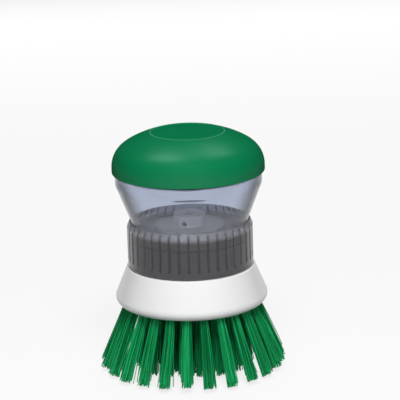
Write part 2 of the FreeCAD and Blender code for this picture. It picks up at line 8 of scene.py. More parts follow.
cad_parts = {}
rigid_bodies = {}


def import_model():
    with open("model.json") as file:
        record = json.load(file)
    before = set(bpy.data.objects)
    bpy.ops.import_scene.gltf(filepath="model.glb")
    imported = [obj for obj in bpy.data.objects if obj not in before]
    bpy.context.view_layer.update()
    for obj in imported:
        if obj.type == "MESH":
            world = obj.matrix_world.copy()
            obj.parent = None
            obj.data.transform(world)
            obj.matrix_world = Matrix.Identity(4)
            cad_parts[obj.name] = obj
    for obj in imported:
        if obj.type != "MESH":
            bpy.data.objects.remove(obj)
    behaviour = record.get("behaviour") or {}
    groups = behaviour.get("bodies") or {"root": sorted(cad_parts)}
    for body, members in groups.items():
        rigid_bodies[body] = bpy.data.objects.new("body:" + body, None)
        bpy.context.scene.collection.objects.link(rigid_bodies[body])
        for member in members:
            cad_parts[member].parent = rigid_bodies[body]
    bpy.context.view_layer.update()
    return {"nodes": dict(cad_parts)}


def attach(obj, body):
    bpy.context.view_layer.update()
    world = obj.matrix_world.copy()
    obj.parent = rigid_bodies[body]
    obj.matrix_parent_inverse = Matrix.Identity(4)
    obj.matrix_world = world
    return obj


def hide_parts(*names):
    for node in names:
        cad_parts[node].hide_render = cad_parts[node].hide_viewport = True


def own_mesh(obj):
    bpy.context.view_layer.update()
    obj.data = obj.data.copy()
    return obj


# Palm brush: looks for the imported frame, +Z up. Sizes are in millimetres, and the meshes in metres.

for leftover in list(bpy.data.objects):
    bpy.data.objects.remove(leftover)
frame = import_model()
nodes = frame["nodes"]

MM = 0.001
TURN = 2 * math.pi
GOLDEN_ANGLE = math.pi * (3 - math.sqrt(5))

# Edge rounds that several pieces share
FINE_ROUND = 0.2
SMALL_ROUND = 0.3
SOFT_ROUND = 0.4
RIM_ROUND = 0.6

# Brush block
UNDERSIDE = 31.8
FOOT_RADIUS = 31.517
FOOT_ROUND = 3.6
BLOCK_FLARE = 0.42
RIM_RADIUS = 29.5
RIM_HEIGHT = 49.5
SOCKET_RADIUS = 27.6
SOCKET_FLOOR = 43.0
TAIL_BORE = 4.9
HOLE_RADIUS = 2.1
HOLE_DEPTH = 9.0
HOLE_SIDES = 20

# Bristle tufts
RINGS = {
    "outer": {"tufts": 24, "radius": 29.0, "lean": math.radians(21.75), "tip": 2.8, "seed": 11},
    "inner": {"tufts": 18, "radius": 20.0, "lean": math.radians(9.5), "tip": 3.2, "seed": 47},
    "centre": {"tufts": 14, "radius": 12.5, "lean": math.radians(5.7), "tip": 3.2, "seed": 83},
}
FILAMENTS_PER_TUFT = 84
FILAMENT_RADIUS = 0.2
FILAMENT_SIDES = 5
FILAMENT_POINTS = 5
FILAMENT_SEAT = 3.0
FILAMENT_BOW = 0.4
ROOT_RADIUS = 1.7
TIP_CLEARANCE = 0.4
TIP_TRIM = 3.6
TUFT_TRIM_SHARE = 0.4
TRIM_BIAS = 1.4
LEAN_JITTER = 0.012
TIP_JITTER = (-0.16, 0.10)
TIP_SWIRL = 0.35
STRAY_SHARE = 0.03
STRAY_SPREAD = (0.3, 1.1)

# Grip collar
COLLAR_RADIUS = 29.0
COLLAR_BORE = 26.0
COLLAR_BOTTOM = 49.7
COLLAR_FOOT_ROUND = 0.8
COLLAR_SHOULDER = 68.4
COLLAR_TOP = 71.0
COLLAR_TOP_RADIUS = 27.8
COLLAR_TOP_ROUND = 0.15
NECK_SOCKET_RADIUS = 27.45
SPIGOT_RADIUS = 27.3
SPIGOT_BOTTOM = 44.1
GROOVE_COUNT = 40
GROOVE_BITE = 0.5
GROOVE_HALF_WIDTH = 0.78
GROOVE_BOTTOM = 53.1
GROOVE_RUN_OUT = 0.9
GROOVE_ROW_STEPS = (-0.1, 0.2, 0.5, 0.9, 1.5, 2.9, 6.9, 10.9, 13.9)
THREAD_RADIUS = 27.15
THREAD_BOTTOM = 44.75
THREAD_RISE = 4.2
THREAD_TURNS = 1.05
THREAD_RIDGE = 0.4

# Clear bowl
NECK_FOOT = 67.5
NECK_BORE = 26.0
NECK_RADIUS = 27.4
FLARE_BOTTOM = 72.0
FLARE_TOP = 88.5
BOWL_RADIUS = 33.8
BOWL_BORE = 32.3
BOWL_TOP = 94.6
BOWL_TOP_ROUND = 2.0
BOWL_ROOF = 93.0
ROOF_BEND = 1.0
ROOF_HOLE_RADIUS = 21.5
NECK_BEND = 2.5
NECK_BORE_BEND = 3.0
FLARE_BEND = 5.0
FLARE_BORE_BEND = 4.5
CYLINDER_RADIUS = 24.5
CYLINDER_BORE = 23.0
CYLINDER_FLOOR = 94.0
CYLINDER_TOP = 103.5
CYLINDER_FOOT_ROUND = 0.5

# Press cap
CAP_RADIUS = 35.1
CAP_WALL = 1.0
CAP_EDGE = 94.0
CAP_EDGE_ROUND = 0.35
CAP_BORE_ROUND = 0.25
SHOULDER_HEIGHT = 96.5
SHOULDER_BEND = 12.5
CROWN_CENTRE = 54.721
CROWN_BEND = 60.0
PRESS_LIP = 112.262
PRESS_LIP_RADIUS = 17.0
PRESS_BEAD = 112.3
PRESS_BEAD_RADIUS = 16.75
PRESS_DISC = 111.802
PRESS_DISC_RADIUS = 16.3
PRESS_DISC_ROUND = 0.25
CAP_ROOF_RADIUS = 18.3
BOSS_RADIUS = 8.6
BOSS_BORE = 6.6
BOSS_FOOT = 106.0

# Mesh steps
BODY_COLUMNS = 192
BLOCK_COLUMNS = 240
COLLAR_COLUMNS = 480
DOME_STEPS = 40
SHOULDER_STEPS = 12
CROWN_STEPS = 8
FOOT_STEPS = 14
BOWL_ROUND_STEPS = 6
ON_AXIS = 1e-6
FLAT_SHARE = 0.12
SHARP_ANGLE = 32.0
GROOVE_SHARP_ANGLE = 40.0

# Colours and gloss
CAP_DEEP = (0.0007, 0.178, 0.064, 1)
CAP_FRESH = (0.0019, 0.217, 0.083, 1)
CAP_SHEEN = 0.62
CAP_SHEEN_ROUGHNESS = 0.38
# Painted highlight: a lighter green line along the press lip's crest
LIP_PAINTED_HIGHLIGHT = (0.16, 0.50, 0.33, 1)
LIP_HIGHLIGHT_SHARE = 0.5
LIP_HIGHLIGHT_WIDTH = 0.45
LIP_HIGHLIGHT_LOWEST = PRESS_DISC + 0.1
BOWL_FACE_ON = (0.74, 0.77, 0.84, 1)
BOWL_EDGE_ON = (0.012, 0.016, 0.024, 1)
BOWL_EDGE_START = 0.4
BOWL_EDGE_RUN = 0.3
BOWL_CAST = (0.38, 0.46, 0.62, 1)
BOWL_DENSITY = 170.0
BOWL_IOR = 1.46
SMOKE_DARK = (0.15, 0.147, 0.16, 1)
SMOKE_LIGHT = (0.22, 0.215, 0.232, 1)
SMOKE_THIN = (0.60, 0.61, 0.66, 1)
# Painted shade in the collar's grooves
SMOKE_GROOVE_SHADE = (0.045, 0.044, 0.05, 1)
SMOKE_IOR = 1.48
THIN_START = 66.5
THIN_RUN = 2.0
WIRE_DARK = (0.42, 0.42, 0.43, 1)
WIRE_BRIGHT = (0.66, 0.66, 0.67, 1)
PAPER_LOW = (0.92, 0.92, 0.92, 1)
PAPER_HIGH = (0.94, 0.94, 0.94, 1)
PAPER_BOUNCE = (0.20, 0.20, 0.20, 1)
PAPER_GLOW = 0.8
WHITE_LIGHT = (1, 1, 1, 1)

# Light, in metres and watts, with azimuths counted from the camera's
SHEEN_COLOUR = (0.7, 1.0, 0.97)
WORLD_LIGHT = 0.09
WORLD_SEEN = 0.86
WORLD_MIRRORED = 0.05
FLOOR_HALF = 4.0

# Camera of the photograph, found from the brush's own outlines
VIEW_AZIMUTH = -70.2
VIEW_ELEVATION = 16.272
VIEW_ROLL = -1.672
VIEW_DISTANCE = 1.0247
VIEW_TARGET = Vector((0.0, 0.0, 0.060))
TARGET_PIXEL = (190.31, 241.14)
FOCAL_PIXELS = 2218.5
PICTURE_SIDE = 400
SENSOR = 36.0


# Node trees

class Wire:
    """One output socket; arithmetic on it adds Math nodes to its tree."""

    def __init__(self, bench, socket):
        self.bench = bench
        self.socket = socket

    def tap(self, name):
        """Another output of the same node."""
        return Wire(self.bench, self.socket.node.outputs[name])

    def math(self, operation, *others):
        """A Math node that takes this socket first."""
        return self.bench.math(operation, self, *others)

    def clamped(self):
        """The value, held between 0 and 1."""
        return self.math("MAXIMUM", 0.0).math("MINIMUM", 1.0)

    def __add__(self, other):
        return self.math("ADD", other)

    __radd__ = __add__

    def __sub__(self, other):
        return self.math("SUBTRACT", other)

    def __rsub__(self, other):
        return self.bench.math("SUBTRACT", other, self)

    def __mul__(self, other):
        return self.math("MULTIPLY", other)

    __rmul__ = __mul__

    def __truediv__(self, other):
        return self.math("DIVIDE", other)

    def __rtruediv__(self, other):
        return self.bench.math("DIVIDE", other, self)

    def __pow__(self, other):
        return self.math("POWER", other)

    def __neg__(self):
        return self.math("MULTIPLY", -1.0)


class Bench:
    """One node tree under construction."""

    def __init__(self, tree):
        self.tree = tree

    def feed(self, socket, value):
        """Link a wire to a socket, or set the socket's own value."""
        if isinstance(value, Wire):
            self.tree.links.new(value.socket, socket)
        else:
            socket.default_value = value

    def add(self, kind, settings=None, sockets=None, out=0):
        """Add a node: its settings first, then the values or links of its sockets."""
        made = self.tree.nodes.new(kind)
        for name, value in (settings or {}).items():
            if name == "captured":
                for item, item_kind in value:
                    made.capture_items.new(item_kind, item)
            else:
                setattr(made, name, value)
        for name, value in (sockets or {}).items():
            self.feed(made.inputs[name], value)
        return Wire(self, made.outputs[out]) if made.outputs else None

    def math(self, operation, *values):
        """Add a Math node on numbers and wires."""
        return self.add("ShaderNodeMath", {"operation": operation}, dict(enumerate(values)))


# Finishes

def linear(red, green, blue):
    """Screen colour 0-255 as the linear colour that a shader takes."""

    def one(level):
        level /= 255
        return level / 12.92 if level <= 0.04045 else ((level + 0.055) / 1.055) ** 2.4

    return (one(red), one(green), one(blue), 1.0)


def new_finish(name):
    """A material with one Principled shader; gives the material, its bench and the shader."""
    material = bpy.data.materials.new(name)
    material.use_nodes = True
    material.node_tree.nodes.clear()
    bench = Bench(material.node_tree)
    shader = bench.add("ShaderNodeBsdfPrincipled", out="BSDF")
    bench.add("ShaderNodeOutputMaterial", None, {"Surface": shader})
    return material, bench, shader.socket.node


def noise(bench, place, scale, detail=2.0, roughness=0.5):
    """Noise from 0 to 1 over a place."""
    return bench.add(
        "ShaderNodeTexNoise",
        None,
        {"Vector": place, "Scale": scale, "Detail": detail, "Roughness": roughness},
        "Fac",
    )


def colour_mix(bench, share, first, second):
    """Two colours mixed; the Mix node's colour sockets are numbers 6 and 7, and output 2."""
    return bench.add("ShaderNodeMix", {"data_type": "RGBA"}, {0: share, 6: first, 7: second}, 2)


def bump(bench, height, strength, distance):
    """Normal of a surface with a fine relief on it, its depth in metres."""
    return bench.add(
        "ShaderNodeBump",
        None,
        {"Strength": strength, "Distance": distance, "Height": height},
        "Normal",
    )


def moulded_plastic(name, dark, light, roughness, spread, grain, grain_depth, coat=0.0):
    """Moulded plastic: soft clouds in its colour and gloss, and the fine grain of the mould's face."""
    material, bench, shader = new_finish(name)
    place = bench.add("ShaderNodeTexCoord", out="Object")
    cloud = noise(bench, place, scale=55.0, detail=3.0)
    flow = noise(bench, place, scale=260.0, detail=4.0, roughness=0.6)
    bench.feed(shader.inputs["Base Color"], colour_mix(bench, cloud * 0.65 + flow * 0.35, dark, light))
    bench.feed(shader.inputs["Roughness"], roughness + (flow - 0.5) * spread)
    face = noise(bench, place, scale=grain, roughness=0.6)
    bench.feed(shader.inputs["Normal"], bump(bench, face, strength=0.5, distance=grain_depth))
    shader.inputs["Coat Weight"].default_value = coat
    return material


def cap_finish():
    """Satin green cap: a fine moulded grain, a sheen that fades edge-on, and a painted highlight along the
    press lip.
    """
    material, bench, shader = new_finish("cap_satin")
    place = bench.add("ShaderNodeTexCoord", out="Object")
    cloud = noise(bench, place, scale=45.0, detail=3.0)
    grain = noise(bench, place, scale=2600.0, roughness=0.6)
    body = colour_mix(bench, cloud * 0.7 + grain * 0.3, CAP_DEEP, CAP_FRESH)
    parts = bench.add("ShaderNodeSeparateXYZ", None, {0: place})
    x, y, z = parts.tap("X"), parts.tap("Y"), parts.tap("Z")
    # painted highlight: a ring along the press lip's crest is mixed towards a lighter green
    off_lip = (x * x + y * y).math("SQRT") - PRESS_LIP_RADIUS * MM
    near_lip = (1.0 - off_lip.math("ABSOLUTE") / (LIP_HIGHLIGHT_WIDTH * MM)).math("MAXIMUM", 0.0)
    lip_highlight = near_lip * z.math("GREATER_THAN", LIP_HIGHLIGHT_LOWEST * MM)
    bench.feed(shader.inputs["Base Color"], colour_mix(bench, lip_highlight * LIP_HIGHLIGHT_SHARE, body, LIP_PAINTED_HIGHLIGHT))
    bench.feed(shader.inputs["Roughness"], 0.45 + grain * 0.1)
    shader.inputs["Specular IOR Level"].default_value = 0.0
    edge = bench.add("ShaderNodeLayerWeight", None, {"Blend": 0.4}, "Facing")
    bench.feed(shader.inputs["Coat Weight"], (1.0 - edge) ** 2.0 * CAP_SHEEN)
    shader.inputs["Coat Roughness"].default_value = CAP_SHEEN_ROUGHNESS
    bench.feed(shader.inputs["Normal"], bump(bench, grain, strength=0.5, distance=0.00006))
    return material


def bristle_finish():
    """Bristle filaments: each has its own shade, paler towards its cut tip."""
    material, bench, shader = new_finish("bristle_filament")
    shade = bench.add("ShaderNodeAttribute", {"attribute_name": "shade"}, None, "Fac")
    along = bench.add("ShaderNodeAttribute", {"attribute_name": "along"}, None, "Fac")
    body = colour_mix(bench, shade, linear(0, 90, 42), linear(32, 192, 114))
    tipped = colour_mix(bench, (along ** 6.0) * 0.35, body, linear(42, 196, 120))
    bench.feed(shader.inputs["Base Color"], tipped)
    bench.feed(shader.inputs["Roughness"], 0.34 + shade * 0.14)
    shader.inputs["Specular IOR Level"].default_value = 0.15
    return material


def clear_finish():
    """Clear bowl plastic: faintly lavender, dark seen edge-on, with a moulded wall's slow ripple."""
    material, bench, shader = new_finish("clear_bowl")
    place = bench.add("ShaderNodeTexCoord", out="Object")
    ripple = noise(bench, place, scale=70.0, detail=1.0)
    haze = noise(bench, place, scale=180.0, detail=3.0)
    turned_away = bench.add("ShaderNodeLayerWeight", None, {"Blend": 0.5}, "Facing")
    edge_on = ((turned_away - BOWL_EDGE_START) / BOWL_EDGE_RUN).clamped()
    bench.feed(shader.inputs["Base Color"], colour_mix(bench, edge_on, BOWL_FACE_ON, BOWL_EDGE_ON))
    shader.inputs["Transmission Weight"].default_value = 1.0
    shader.inputs["IOR"].default_value = BOWL_IOR
    bench.feed(shader.inputs["Roughness"], 0.02 + haze * 0.03)
    bench.feed(shader.inputs["Normal"], bump(bench, ripple, strength=0.25, distance=0.00025))
    cast = bench.add(
        "ShaderNodeVolumeAbsorption", None, {"Color": BOWL_CAST, "Density": BOWL_DENSITY}, "Volume"
    )
    bench.feed(material.node_tree.get_output_node("ALL").inputs["Volume"], cast)
    return material


def smoky_finish():
    """Smoky see-through plastic: painted shade in the grooves, pale in the thin wall round the neck."""
    material, bench, shader = new_finish("smoky_collar")
    place = bench.add("ShaderNodeTexCoord", out="Object")
    groove = bench.add("ShaderNodeAttribute", {"attribute_name": "groove"}, None, "Fac")
    cloud = noise(bench, place, scale=60.0, detail=3.0)
    smoke = colour_mix(bench, cloud, SMOKE_DARK, SMOKE_LIGHT)
    height = bench.add("ShaderNodeSeparateXYZ", None, {0: place}).tap("Z")
    thin = ((height - THIN_START * MM) / (THIN_RUN * MM)).clamped()
    body = colour_mix(bench, thin, smoke, SMOKE_THIN)
    # painted shade: the grooves are mixed towards a darker smoke
    bench.feed(shader.inputs["Base Color"], colour_mix(bench, groove * 0.8, body, SMOKE_GROOVE_SHADE))
    bench.feed(shader.inputs["Roughness"], 0.10 + cloud * 0.12)
    shader.inputs["Transmission Weight"].default_value = 0.75
    shader.inputs["IOR"].default_value = SMOKE_IOR
    return material


def steel_finish():
    """Drawn spring wire: bright metal with fine streaks."""
    material, bench, shader = new_finish("spring_wire")
    place = bench.add("ShaderNodeTexCoord", out="Object")
    streak = noise(bench, place, scale=900.0, detail=3.0, roughness=0.7)
    bench.feed(shader.inputs["Base Color"], colour_mix(bench, streak, WIRE_DARK, WIRE_BRIGHT))
    bench.feed(shader.inputs["Roughness"], 0.22 + streak * 0.18)
    shader.inputs["Metallic"].default_value = 1.0
    return material


def floor_finish():
    """Studio paper: pale and slightly uneven where it is seen, darker as a source of bounced light."""
    material, bench, shader = new_finish("studio_paper")
    place = bench.add("ShaderNodeTexCoord", out="Object")
    cloud = noise(bench, place, scale=1.5)
    path = bench.add("ShaderNodeLightPath", out="Is Camera Ray")
    seen = (path + path.tap("Is Glossy Ray") + path.tap("Is Transmission Ray")).math("MINIMUM", 1.0)
    bright = colour_mix(bench, cloud, PAPER_LOW, PAPER_HIGH)
    bench.feed(shader.inputs["Base Color"], colour_mix(bench, seen, PAPER_BOUNCE, bright))
    shader.inputs["Roughness"].default_value = 0.8
    shader.inputs["Specular IOR Level"].default_value = 0.1
    glow = bench.add("ShaderNodeEmission", None, {"Color": WHITE_LIGHT, "Strength": 1.0}, "Emission")
    paper = Wire(bench, shader.outputs["BSDF"])
    mixed = bench.add("ShaderNodeMixShader", None, {0: seen * PAPER_GLOW, 1: paper, 2: glow}, "Shader")
    bench.feed(material.node_tree.get_output_node("ALL").inputs["Surface"], mixed)
    return material


CAP_GREEN = cap_finish()
WHITE = moulded_plastic(
    "block_white",
    dark=(0.90, 0.90, 0.91, 1),
    light=(0.94, 0.94, 0.95, 1),
    roughness=0.30,
    spread=0.08,
    grain=1500.0,
    grain_depth=0.00001,
    coat=0.15,
)
SMOKY = smoky_finish()
GREY = moulded_plastic(
    "grey_inner",
    dark=(0.80, 0.77, 0.72, 1),
    light=(0.86, 0.83, 0.78, 1),
    roughness=0.42,
    spread=0.10,
    grain=2000.0,
    grain_depth=0.00002,
)
NATURAL = moulded_plastic(
    "natural_inner",
    dark=(0.80, 0.80, 0.80, 1),
    light=(0.88, 0.88, 0.88, 1),
    roughness=0.40,
    spread=0.10,
    grain=2000.0,
    grain_depth=0.00002,
)
RUBBER = moulded_plastic(
    "seal_black",
    dark=linear(34, 34, 36),
    light=linear(50, 50, 52),
    roughness=0.62,
    spread=0.10,
    grain=2400.0,
    grain_depth=0.00004,
)
BRISTLE = bristle_finish()
CLEAR = clear_finish()
STEEL = steel_finish()
PAPER = floor_finish()


# Profiles and turned pieces

def arc(centre, radius, start, end, steps):
    """Points of an arc in the radius-height plane, angles in degrees."""
    points = []
    for step in range(steps + 1):
        angle = math.radians(start + (end - start) * step / steps)
        points.append((centre[0] + radius * math.cos(angle), centre[1] + radius * math.sin(angle)))
    return points


def tightening_dome(top, bottom, bends, join_angle, steps):
    """Dome from a top point to an upright bottom: the wide bend tightens steadily into the narrow one."""
    wide, narrow = bends
    start = math.acos(top[0] / wide)
    join = math.radians(join_angle)
    spread = start - join
    run = [(0.0, 0.0)]
    for step in range(steps):
        angle = start * (1 - (step + 0.5) / steps)
        share = min(max((angle - join + spread) / (2 * spread), 0.0), 1.0)
        bend = narrow + (wide - narrow) * share * share * (3 - 2 * share)
        length = bend * start / steps
        run.append((run[-1][0] + length * math.sin(angle), run[-1][1] - length * math.cos(angle)))
    across = (bottom[0] - top[0]) / run[-1][0]
    down = (bottom[1] - top[1]) / run[-1][1]
    return [(top[0] + x * across, top[1] + y * down) for x, y in run]


def softened(corners, closed=True, steps=5):
    """Profile points from corners (radius, height, round): each round is an arc between narrow flats."""
    points = []
    count = len(corners)
    for number, corner in enumerate(corners):
        here = Vector(corner[:2])
        size = corner[2] if len(corner) > 2 else 0.0
        at_end = not closed and number in (0, count - 1)
        if size <= 0 or at_end:
            points.append(tuple(here))
            continue
        before = (Vector(corners[number - 1][:2]) - here).normalized()
        after = (Vector(corners[(number + 1) % count][:2]) - here).normalized()
        half = before.angle(after) / 2
        run = size / math.tan(half)
        centre = here + (before + after).normalized() * (size / math.sin(half))
        first = here + before * run
        last = here + after * run
        points.append(tuple(first + before * size * FLAT_SHARE))
        start = first - centre
        sweep = start.angle_signed(last - centre)
        for step in range(steps + 1):
            turned_arm = Matrix.Rotation(-sweep * step / steps, 2) @ start
            points.append(tuple(centre + turned_arm))
        points.append(tuple(last + after * size * FLAT_SHARE))
    return points


def turned(name, profile, columns, closed=True):
    """Turn a profile in millimetres about the axis into a mesh; an open one starts and ends on the axis."""
    shell = bmesh.new()
    rows = []
    for radius, height in profile:
        if radius < ON_AXIS:
            rows.append([shell.verts.new((0.0, 0.0, height * MM))])
            continue
        row = []
        for column in range(columns):
            angle = TURN * column / columns
            place = (radius * MM * math.cos(angle), radius * MM * math.sin(angle), height * MM)
            row.append(shell.verts.new(place))
        rows.append(row)
    pairs = list(zip(rows, rows[1:]))
    if closed:
        pairs.append((rows[-1], rows[0]))
    for low, high in pairs:
        for column in range(columns):
            following = (column + 1) % columns
            if len(low) == 1:
                shell.faces.new((low[0], high[following], high[column]))
            elif len(high) == 1:
                shell.faces.new((low[column], low[following], high[0]))
            else:
                shell.faces.new((low[column], low[following], high[following], high[column]))
    bmesh.ops.recalc_face_normals(shell, faces=shell.faces)
    mesh = bpy.data.meshes.new(name)
    shell.to_mesh(mesh)
    shell.free()
    return mesh


def smooth(mesh, sharp_angle=SHARP_ANGLE):
    """Shade smooth, with real corners kept."""
    mesh.polygons.foreach_set("use_smooth", [True] * len(mesh.polygons))
    mesh.set_sharp_from_angle(angle=math.radians(sharp_angle))


def piece(name, mesh, body, replaced):
    """Put a finished mesh into the scene as a piece of the brush."""
    thing = bpy.data.objects.new(name, mesh)
    bpy.context.scene.collection.objects.link(thing)
    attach(thing, body)
    if replaced:
        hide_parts(*replaced)
    return thing


# Geometry Nodes

def node_group(name, inputs):
    """A geometry tree with named inputs; gives its bench, its inputs as wires, and the finishing call."""
    tree = bpy.data.node_groups.new(name, "GeometryNodeTree")
    bench = Bench(tree)
    tree.interface.new_socket("Geometry", in_out="OUTPUT", socket_type="NodeSocketGeometry")
    for label, kind in inputs:
        tree.interface.new_socket(label, in_out="INPUT", socket_type=f"NodeSocket{kind}")
    start = tree.nodes.new("NodeGroupInput")
    wires = {label: Wire(bench, start.outputs[label]) for label, _ in inputs}

    def close(geometry):
        real = bench.add("GeometryNodeRealizeInstances", None, {"Geometry": geometry})
        painted = bench.add(
            "GeometryNodeSetMaterial", None, {"Geometry": real, "Material": wires["Material"]}
        )
        end = tree.nodes.new("NodeGroupOutput")
        tree.links.new(painted.socket, end.inputs["Geometry"])
        return tree

    return bench, wires, close


def grown(name, tree, values, base=None):
    """Evaluate a geometry tree with these input values and give the plain mesh."""
    thing = bpy.data.objects.new(name, base or bpy.data.meshes.new(name))
    bpy.context.scene.collection.objects.link(thing)
    modifier = thing.modifiers.new("nodes", "NODES")
    modifier.node_group = tree
    for item in tree.interface.items_tree:
        if item.in_out == "INPUT" and item.name in values:
            modifier[item.identifier] = values[item.name]
    graph = bpy.context.evaluated_depsgraph_get()
    mesh = bpy.data.meshes.new_from_object(
        thing.evaluated_get(graph), preserve_all_data_layers=True, depsgraph=graph
    )
    thing.modifiers.remove(modifier)
    bpy.data.objects.remove(thing)
    mesh.name = name
    return mesh


def random_float(bench, low, high, seed, key=None):
    """Random number per element, or per key; the float sockets are numbers 2 and 3, and output 1."""
    sockets = {2: low, 3: high, 8: seed}
    if key is not None:
        sockets[7] = key
    return bench.add("FunctionNodeRandomValue", {"data_type": "FLOAT"}, sockets, 1)


def named_attribute(bench, geometry, name, value):
    """Store a number on each point, for a finish to read."""
    return bench.add(
        "GeometryNodeStoreNamedAttribute",
        {"data_type": "FLOAT", "domain": "POINT"},
        {"Geometry": geometry, "Name": name, "Value": value},
    )


def tuft_tree():
    """A ring of bristle tufts: filaments packed in each hole spread to a ragged tip."""
    bench, given, close = node_group(
        "bristle_tufts",
        [
            ("Tufts", "Int"), ("Filaments", "Int"), ("Ring Radius", "Float"), ("Underside", "Float"),
            ("Lean", "Float"), ("Reach", "Float"), ("Seat", "Float"), ("Root Radius", "Float"),
            ("Tip Radius", "Float"), ("Filament Radius", "Float"), ("Trim", "Float"), ("Bow", "Float"),
            ("Stray Share", "Float"), ("Seed", "Int"), ("Material", "Material"),
        ],
    )
    seed = given["Seed"]
    index = bench.add("GeometryNodeInputIndex")
    tuft = ((index + 0.5) / given["Filaments"]).math("FLOOR")
    number = index - tuft * given["Filaments"]
    swing = tuft * TURN / given["Tufts"]
    swing_cos, swing_sin = swing.math("COSINE"), swing.math("SINE")
    lean = given["Lean"] + random_float(bench, -LEAN_JITTER, LEAN_JITTER, seed + 1, tuft)
    lean_cos, lean_sin = lean.math("COSINE"), lean.math("SINE")

    def spot(along, side, out):
        """Place beside a tuft's own axis: along it, to its side, and outwards from the brush's axis."""
        radial = given["Ring Radius"] + along * lean_sin + out * lean_cos
        height = given["Underside"] - along * lean_cos + out * lean_sin
        return bench.add(
            "ShaderNodeCombineXYZ",
            None,
            {
                "X": radial * swing_cos - side * swing_sin,
                "Y": radial * swing_sin + side * swing_cos,
                "Z": height,
            },
        )

    packing = ((number + 0.5) / given["Filaments"]).math("SQRT")
    angle = number * GOLDEN_ANGLE + random_float(bench, 0.0, TURN, seed + 2, tuft)
    root_side = packing * angle.math("COSINE") * given["Root Radius"]
    root_out = packing * angle.math("SINE") * given["Root Radius"]
    stray = random_float(bench, 0.0, 1.0, seed + 3).math("LESS_THAN", given["Stray Share"])
    spread = packing + random_float(bench, *TIP_JITTER, seed + 4)
    spread = spread + stray * random_float(bench, *STRAY_SPREAD, seed + 5)
    tip_angle = angle + random_float(bench, -TIP_SWIRL, TIP_SWIRL, seed + 6)
    tip_side = spread * tip_angle.math("COSINE") * given["Tip Radius"]
    tip_out = spread * tip_angle.math("SINE") * given["Tip Radius"]
    cut = random_float(bench, 0.0, 1.0, seed + 7)
    tuft_cut = random_float(bench, 0.0, TUFT_TRIM_SHARE, seed + 8, tuft)
    reach = given["Reach"] - cut ** TRIM_BIAS * given["Trim"] - tuft_cut * given["Trim"]
    root = spot(-given["Seat"], root_side, root_out)
    tip = spot(reach, tip_side, tip_out)
    bow = bench.add(
        "FunctionNodeRandomValue",
        {"data_type": "FLOAT_VECTOR"},
        {0: (-1.0, -1.0, -1.0), 1: (1.0, 1.0, 1.0), 8: seed + 9},
        0,
    )
    bow = bench.add("ShaderNodeVectorMath", {"operation": "SCALE"}, {0: bow, "Scale": given["Bow"]})
    shade = random_float(bench, 0.0, 1.0, seed + 10)
    points = bench.add("GeometryNodePoints", None, {"Count": given["Tufts"] * given["Filaments"]})
    captured = [("Root", "VECTOR"), ("Tip", "VECTOR"), ("Bow", "VECTOR"), ("Shade", "FLOAT")]
    held = bench.add(
        "GeometryNodeCaptureAttribute",
        {"domain": "POINT", "captured": captured},
        {"Geometry": points, "Root": root, "Tip": tip, "Bow": bow, "Shade": shade},
        "Geometry",
    )
    line = bench.add("GeometryNodeCurvePrimitiveLine")
    line = bench.add("GeometryNodeResampleCurve", None, {"Curve": line, "Count": FILAMENT_POINTS})
    strands = bench.add("GeometryNodeInstanceOnPoints", None, {"Points": held, "Instance": line})
    strands = bench.add("GeometryNodeRealizeInstances", None, {"Geometry": strands})
    along = bench.add("GeometryNodeSplineParameter", out="Factor")
    run = bench.add(
        "ShaderNodeMix",
        {"data_type": "VECTOR"},
        {0: along, 4: held.tap("Root"), 5: held.tap("Tip")},
        1,
    )
    belly = (along * math.pi).math("SINE")
    bent = bench.add("ShaderNodeVectorMath", {"operation": "SCALE"}, {0: held.tap("Bow"), "Scale": belly})
    place = bench.add("ShaderNodeVectorMath", {"operation": "ADD"}, {0: run, 1: bent})
    strands = bench.add("GeometryNodeSetPosition", None, {"Geometry": strands, "Position": place})
    strands = named_attribute(bench, strands, "along", along)
    ring = bench.add(
        "GeometryNodeCurvePrimitiveCircle",
        None,
        {"Resolution": FILAMENT_SIDES, "Radius": given["Filament Radius"]},
    )
    tubes = bench.add(
        "GeometryNodeCurveToMesh", None, {"Curve": strands, "Profile Curve": ring, "Fill Caps": True}
    )
    tubes = named_attribute(bench, tubes, "shade", held.tap("Shade"))
    tubes = bench.add("GeometryNodeSetShadeSmooth", None, {"Geometry": tubes, "Shade Smooth": True})
    return close(tubes)


def drilled_tree():
    """A turned piece with a ring of leaning holes drilled into it from below."""
    bench, given, close = node_group(
        "drilled_ring",
        [
            ("Piece", "Geometry"), ("Holes", "Int"), ("Ring Radius", "Float"), ("Height", "Float"),
            ("Lean", "Float"), ("Hole Radius", "Float"), ("Depth", "Float"), ("Material", "Material"),
        ],
    )
    index = bench.add("GeometryNodeInputIndex")
    swing = index * TURN / given["Holes"]
    place = bench.add(
        "ShaderNodeCombineXYZ",
        None,
        {
            "X": swing.math("COSINE") * given["Ring Radius"],
            "Y": swing.math("SINE") * given["Ring Radius"],
            "Z": given["Height"],
        },
    )
    points = bench.add("GeometryNodePoints", None, {"Count": given["Holes"], "Position": place})
    drill = bench.add(
        "GeometryNodeMeshCylinder",
        {"fill_type": "NGON"},
        {"Vertices": HOLE_SIDES, "Radius": given["Hole Radius"], "Depth": given["Depth"] * 2.0},
        "Mesh",
    )
    turn = bench.add("ShaderNodeCombineXYZ", None, {"Y": -given["Lean"], "Z": swing})
    drills = bench.add(
        "GeometryNodeInstanceOnPoints", None, {"Points": points, "Instance": drill, "Rotation": turn}
    )
    drills = bench.add("GeometryNodeRealizeInstances", None, {"Geometry": drills})
    cut = bench.add(
        "GeometryNodeMeshBoolean",
        {"operation": "DIFFERENCE", "solver": "EXACT"},
        {"Mesh 1": given["Piece"], "Mesh 2": drills},
        "Mesh",
    )
    return close(cut)


